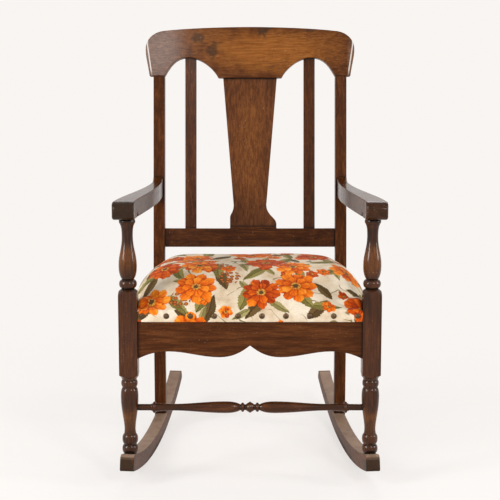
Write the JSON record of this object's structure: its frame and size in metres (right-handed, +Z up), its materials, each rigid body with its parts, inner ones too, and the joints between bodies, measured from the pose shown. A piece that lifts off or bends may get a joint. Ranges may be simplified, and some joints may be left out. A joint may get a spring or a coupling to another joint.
{
  "type": "rocking chair",
  "caption": "Wooden arm rocking chair on two curved rockers, with turned front posts, a splat back and a sprung seat in floral cloth.",
  "frame": {"origin": "on the floor, under the middle of the bounding box", "axes": "+Z up, +Y from the front to the back, +X to the right of someone who looks at the chair's front"},
  "size_m": [0.61, 0.7076, 1.0496],
  "materials": {
    "stained_wood": "gloss",
    "dark_stained_wood": "gloss",
    "bare_wood": "matte",
    "screw_steel": "satin",
    "spring_steel": "satin",
    "webbing": "matte",
    "hessian": "matte",
    "stuffing": "matte",
    "printed_cloth": "matte",
    "nail_bronze": "satin"
  },
  "bodies": {
    "root": {"crest_rail": "stained_wood", "splat": "dark_stained_wood", "left_slat": "dark_stained_wood", "right_slat": "dark_stained_wood", "lower_back_rail": "dark_stained_wood", "left_rear_post": "stained_wood", "right_rear_post": "stained_wood", "left_front_post": "stained_wood", "right_front_post": "stained_wood", "left_arm": "stained_wood", "right_arm": "stained_wood", "arm_screws": "screw_steel", "front_apron": "stained_wood", "left_side_rail": "dark_stained_wood", "right_side_rail": "dark_stained_wood", "rear_seat_rail": "dark_stained_wood", "corner_blocks": "bare_wood", "corner_block_screws": "screw_steel", "rail_dowels": "bare_wood", "front_stretcher": "stained_wood", "left_rocker": "stained_wood", "right_rocker": "stained_wood", "seat_webbing": "webbing", "seat_springs": "spring_steel", "spring_hessian": "hessian", "seat_stuffing": "stuffing", "seat_cover": "printed_cloth", "upholstery_nails": "nail_bronze"}
  },
  "joints": []
}
